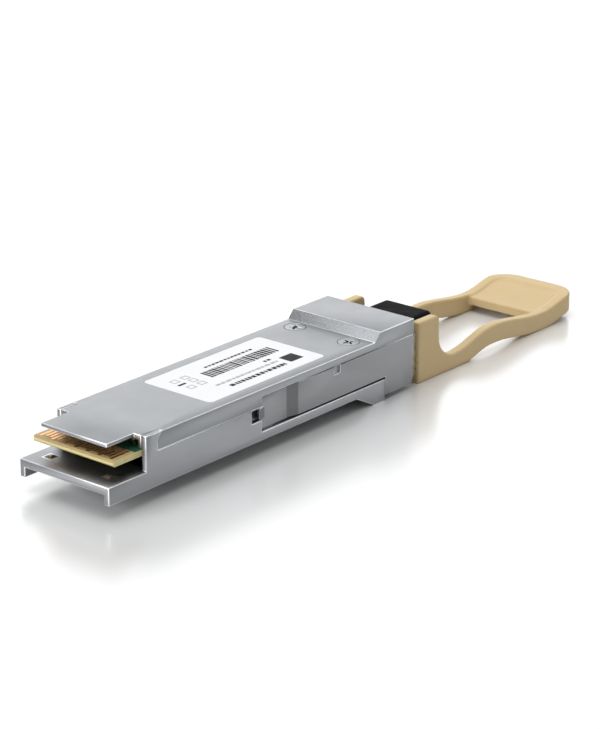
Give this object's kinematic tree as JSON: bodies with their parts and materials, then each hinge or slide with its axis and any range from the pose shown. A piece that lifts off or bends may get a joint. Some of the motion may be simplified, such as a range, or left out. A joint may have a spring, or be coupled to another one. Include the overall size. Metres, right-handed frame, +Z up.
{
  "type": "optical transceiver module",
  "caption": "Pluggable pull-tab optical transceiver module: cast shell, card edge, sprung sliding latch, multi-fibre port and dust plug.",
  "frame": {"origin": "middle of the underside: half the overall length, on the mid plane, level with the flat foot", "axes": "+X from the card edge towards the pull tab, +Y across the width, +Z up towards the labelled cover"},
  "size_m": [0.1216, 0.0184, 0.0122],
  "materials": {
    "cast_metal": "plated die casting, fine satin",
    "screw_steel": "bright plated",
    "spring_steel": "stamped, nickel plated",
    "label_paper": "satin printed",
    "gasket": "conductive elastomer",
    "circuit_board": "green solder resist on glass laminate",
    "gold_contacts": "hard gold plating",
    "chip_mould": "moulded package",
    "bare_die": "polished die",
    "ceramic_part": "fired ceramic",
    "crystal_can": "metal can",
    "lens_plastic": "clear amber polymer",
    "fibre": "coated ribbon",
    "boot_rubber": "soft boot",
    "ferrule_polymer": "glass-filled polymer",
    "pin_steel": "ground stainless",
    "port_plastic": "black moulded",
    "thermal_pad": "soft filled silicone",
    "tab_plastic": "beige flexible moulding, fine satin",
    "plug_rubber": "black elastomer"
  },
  "bodies": {
    "housing": {"lower_shell": "cast_metal", "upper_shell": "cast_metal", "cover_screws": "screw_steel", "label": "label_paper", "emi_gaskets": "gasket", "circuit_board": "circuit_board", "contacts_top": "gold_contacts", "contacts_bottom": "gold_contacts", "retimer_chips": "chip_mould", "driver_chips": "bare_die", "controller_chip": "chip_mould", "power_parts": "chip_mould", "capacitors": "ceramic_part", "crystal": "crystal_can", "lens_block": "lens_plastic", "fibre_ribbon": "fibre", "ferrule_boot": "boot_rubber", "mt_ferrule": "ferrule_polymer", "guide_pins": "pin_steel", "receptacle": "port_plastic", "latch_clip": "port_plastic", "base_thermal_pad": "thermal_pad", "cover_thermal_pad": "thermal_pad", "return_springs": "spring_steel"},
    "latch": {"latch_slider": "spring_steel", "pull_tab": "tab_plastic"},
    "plug": {"dust_plug": "plug_rubber"}
  },
  "joints": [
    {"name": "latch_slide", "type": "slide", "parent": "housing", "child": "latch", "axis": [1, 0, 0], "range_m": [0, 0.0022], "stiffness_N_per_m": 800, "springref_m": -0.002, "deforming": ["return_springs"]},
    {"name": "plug_pull", "type": "slide", "parent": "housing", "child": "plug", "axis": [1, 0, 0], "range_m": [0, 0.012]}
  ]
}
